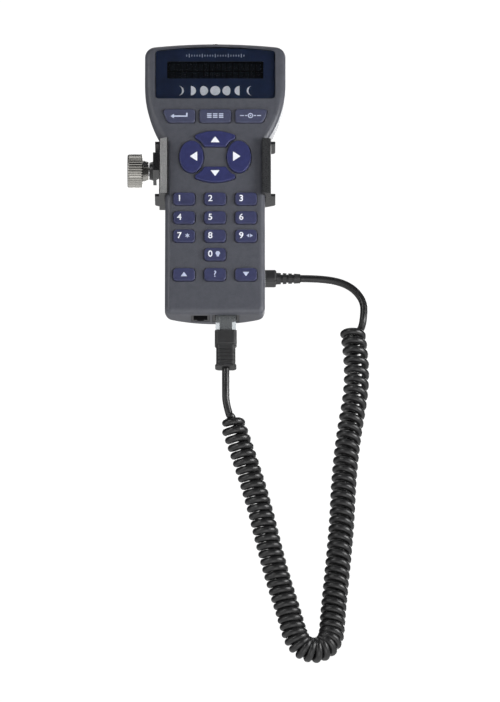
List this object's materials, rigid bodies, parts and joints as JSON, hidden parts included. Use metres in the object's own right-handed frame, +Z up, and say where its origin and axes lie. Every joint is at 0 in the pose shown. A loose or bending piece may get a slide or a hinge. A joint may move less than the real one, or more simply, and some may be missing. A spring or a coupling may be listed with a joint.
{
  "type": "telescope hand controller",
  "caption": "Handheld telescope keypad with display in a clip-on holder with a thumb-screw clamp, its coiled cord hanging in a loop from the lower end to a modular plug.",
  "frame": {"origin": "centre of the holder's clamp bore, where the telescope's vertical handle bar passes", "axes": "+Z up along the clamp bore and along the handset towards its display, -Y the way the keys and display face, +X to the right of someone facing the keys"},
  "size_m": [0.1395, 0.0617, 0.3666],
  "materials": {
    "housing": "fine texture, dark grey",
    "key_rubber": "matte, dark blue",
    "function_key": "matte, blue grey",
    "window": "polished, printed dark blue",
    "bezel": "satin black",
    "lcd": "dark display glass",
    "backlight": "moulded red light guide",
    "board": "green solder mask",
    "header": "moulded black with tinned pins",
    "mat": "moulded",
    "chips": "moulded",
    "socket": "moulded",
    "contacts": "gold plated",
    "speaker": "moulded",
    "magnet": "plated",
    "lamp": "red diffused",
    "lens": "clear",
    "screws": "zinc plated",
    "holder_plastic": "moulded black",
    "insert": "turned",
    "pad": "moulded",
    "thumb_steel": "turned",
    "knob": "nickel plated",
    "plug_clear": "clear moulded",
    "boot": "moulded",
    "cable": "satin black"
  },
  "bodies": {
    "holder": {"cradle": "holder_plastic", "clamp_hook": "holder_plastic", "holder_screws": "screws", "clamp_insert": "insert"},
    "handset": {"front_housing": "housing", "rear_housing": "housing", "display_window": "window", "lcd_bezel": "bezel", "lcd_glass": "lcd", "lcd_backlight": "backlight", "lcd_board": "board", "lcd_header": "header", "keypad_mat": "mat", "main_board": "board", "circuit_chips": "chips", "coil_cord_jack": "socket", "serial_jack": "socket", "coil_cord_contacts": "contacts", "serial_contacts": "contacts", "speaker": "speaker", "speaker_magnet": "magnet", "utility_light": "lamp", "utility_lens": "lens", "case_screws": "screws", "board_screws": "screws"},
    "key_enter": {"key_enter": "function_key"},
    "key_mode": {"key_mode": "function_key"},
    "key_goto": {"key_goto": "function_key"},
    "key_up": {"key_up": "key_rubber"},
    "key_down": {"key_down": "key_rubber"},
    "key_left": {"key_left": "key_rubber"},
    "key_right": {"key_right": "key_rubber"},
    "key_1": {"key_1": "key_rubber"},
    "key_2": {"key_2": "key_rubber"},
    "key_3": {"key_3": "key_rubber"},
    "key_4": {"key_4": "key_rubber"},
    "key_5": {"key_5": "key_rubber"},
    "key_6": {"key_6": "key_rubber"},
    "key_7": {"key_7": "key_rubber"},
    "key_8": {"key_8": "key_rubber"},
    "key_9": {"key_9": "key_rubber"},
    "key_0": {"key_0": "key_rubber"},
    "key_scroll_up": {"key_scroll_up": "key_rubber"},
    "key_help": {"key_help": "key_rubber"},
    "key_scroll_down": {"key_scroll_down": "key_rubber"},
    "pressure_pad": {"clamp_pad": "pad"},
    "thumb_screw": {"thumb_screw": "thumb_steel", "clamp_knob": "knob"},
    "cord": {"handset_plug": "plug_clear", "handset_plug_blades": "contacts", "handset_boot": "boot", "cord_lead": "cable", "cord_coil": "cable", "cord_far_lead": "cable", "far_boot": "boot", "far_plug": "plug_clear", "far_plug_blades": "contacts"},
    "handset_plug_latch": {"handset_plug_latch": "plug_clear"},
    "far_plug_latch": {"far_plug_latch": "plug_clear"}
  },
  "joints": [
    {"name": "handset_lift", "type": "slide", "parent": "holder", "child": "handset", "axis": [0, 0, 1], "range_m": [0, 0.11]},
    {"name": "key_enter_press", "type": "slide", "parent": "handset", "child": "key_enter", "axis": [0, 1, 0], "range_m": [0, 0.00095], "stiffness_N_per_m": 1000},
    {"name": "key_mode_press", "type": "slide", "parent": "handset", "child": "key_mode", "axis": [0, 1, 0], "range_m": [0, 0.00095], "stiffness_N_per_m": 1000},
    {"name": "key_goto_press", "type": "slide", "parent": "handset", "child": "key_goto", "axis": [0, 1, 0], "range_m": [0, 0.00095], "stiffness_N_per_m": 1000},
    {"name": "key_up_press", "type": "slide", "parent": "handset", "child": "key_up", "axis": [0, 1, 0], "range_m": [0, 0.00095], "stiffness_N_per_m": 1000},
    {"name": "key_down_press", "type": "slide", "parent": "handset", "child": "key_down", "axis": [0, 1, 0], "range_m": [0, 0.00095], "stiffness_N_per_m": 1000},
    {"name": "key_left_press", "type": "slide", "parent": "handset", "child": "key_left", "axis": [0, 1, 0], "range_m": [0, 0.00095], "stiffness_N_per_m": 1000},
    {"name": "key_right_press", "type": "slide", "parent": "handset", "child": "key_right", "axis": [0, 1, 0], "range_m": [0, 0.00095], "stiffness_N_per_m": 1000},
    {"name": "key_1_press", "type": "slide", "parent": "handset", "child": "key_1", "axis": [0, 1, 0], "range_m": [0, 0.00095], "stiffness_N_per_m": 1000},
    {"name": "key_2_press", "type": "slide", "parent": "handset", "child": "key_2", "axis": [0, 1, 0], "range_m": [0, 0.00095], "stiffness_N_per_m": 1000},
    {"name": "key_3_press", "type": "slide", "parent": "handset", "child": "key_3", "axis": [0, 1, 0], "range_m": [0, 0.00095], "stiffness_N_per_m": 1000},
    {"name": "key_4_press", "type": "slide", "parent": "handset", "child": "key_4", "axis": [0, 1, 0], "range_m": [0, 0.00095], "stiffness_N_per_m": 1000},
    {"name": "key_5_press", "type": "slide", "parent": "handset", "child": "key_5", "axis": [0, 1, 0], "range_m": [0, 0.00095], "stiffness_N_per_m": 1000},
    {"name": "key_6_press", "type": "slide", "parent": "handset", "child": "key_6", "axis": [0, 1, 0], "range_m": [0, 0.00095], "stiffness_N_per_m": 1000},
    {"name": "key_7_press", "type": "slide", "parent": "handset", "child": "key_7", "axis": [0, 1, 0], "range_m": [0, 0.00095], "stiffness_N_per_m": 1000},
    {"name": "key_8_press", "type": "slide", "parent": "handset", "child": "key_8", "axis": [0, 1, 0], "range_m": [0, 0.00095], "stiffness_N_per_m": 1000},
    {"name": "key_9_press", "type": "slide", "parent": "handset", "child": "key_9", "axis": [0, 1, 0], "range_m": [0, 0.00095], "stiffness_N_per_m": 1000},
    {"name": "key_0_press", "type": "slide", "parent": "handset", "child": "key_0", "axis": [0, 1, 0], "range_m": [0, 0.00095], "stiffness_N_per_m": 1000},
    {"name": "key_scroll_up_press", "type": "slide", "parent": "handset", "child": "key_scroll_up", "axis": [0, 1, 0], "range_m": [0, 0.00095], "stiffness_N_per_m": 1000},
    {"name": "key_help_press", "type": "slide", "parent": "handset", "child": "key_help", "axis": [0, 1, 0], "range_m": [0, 0.00095], "stiffness_N_per_m": 1000},
    {"name": "key_scroll_down_press", "type": "slide", "parent": "handset", "child": "key_scroll_down", "axis": [0, 1, 0], "range_m": [0, 0.00095], "stiffness_N_per_m": 1000},
    {"name": "clamp_travel", "type": "slide", "parent": "holder", "child": "pressure_pad", "axis": [-1, 0, 0], "range_m": [0, 0.0025]},
    {"name": "knob_turn", "type": "hinge", "parent": "pressure_pad", "child": "thumb_screw", "pos_m": [-0.0165, 0, 0], "axis": [-1, 0, 0], "range_deg": [0, 720]},
    {"name": "plug_pull", "type": "slide", "parent": "handset", "child": "cord", "axis": [0, 0, -1], "range_m": [0, 0.016]},
    {"name": "handset_latch_press", "type": "hinge", "parent": "cord", "child": "handset_plug_latch", "pos_m": [0.0282, -0.02783, -0.0927], "axis": [-1, 0, 0], "range_deg": [0, 4], "stiffness_Nm_per_rad": 0.25},
    {"name": "far_latch_press", "type": "hinge", "parent": "cord", "child": "far_plug_latch", "pos_m": [0.0323, 0.012, -0.06542], "axis": [0, -1, 0], "range_deg": [0, 4], "stiffness_Nm_per_rad": 0.25}
  ],
  "couplings": [
    {"joint": "knob_turn", "follows": "clamp_travel", "rad_per_m": 5026.6}
  ]
}
